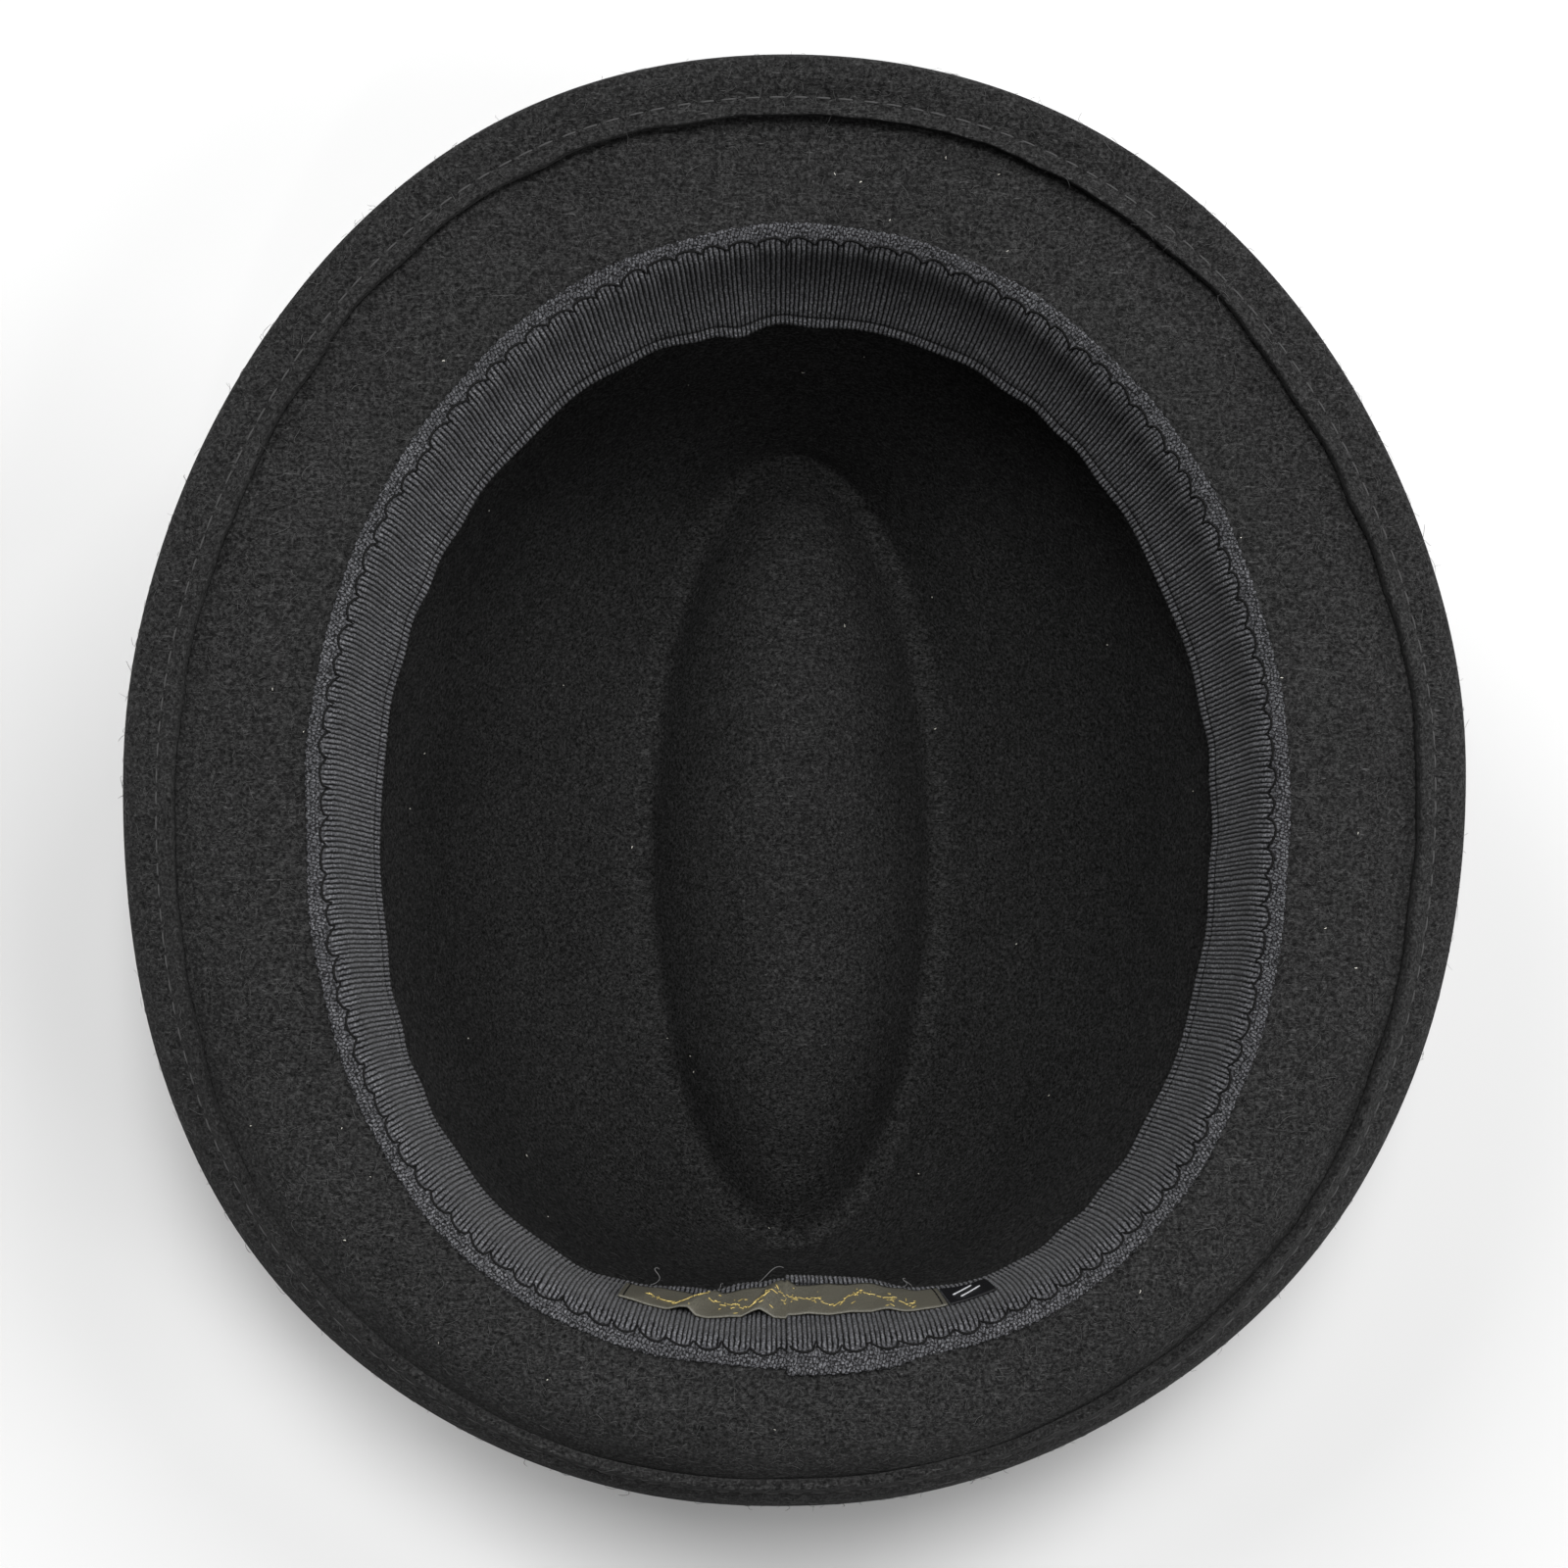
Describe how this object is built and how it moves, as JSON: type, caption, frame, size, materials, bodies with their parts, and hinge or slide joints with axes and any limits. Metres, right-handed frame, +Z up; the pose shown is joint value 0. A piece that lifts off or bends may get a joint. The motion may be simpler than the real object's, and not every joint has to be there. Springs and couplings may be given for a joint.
{
  "type": "short-brimmed felt hat",
  "caption": "Short-brimmed felt hat with a leaf-shaped dent in its crown, a folded and stitched brim edge and a ribbed sweatband, lying on its crown.",
  "frame": {"origin": "on the surface the hat lies on, under the middle of its outline", "axes": "+Z points up out of the head opening, +Y to the hat's front, and the crown's top is down"},
  "size_m": [0.2486, 0.2674, 0.1098],
  "materials": {
    "felt": "matt black wool felt, mottled with paler fibres",
    "ribbon": "ribbed black grosgrain ribbon with a faint sheen",
    "label_cloth": "olive brown satin with an ornament in gold thread",
    "tab_cloth": "black satin with pale woven strokes"
  },
  "bodies": {
    "root": {"felt_body": "felt", "sweatband": "ribbon", "label": "label_cloth", "size_tab": "tab_cloth"}
  },
  "joints": []
}
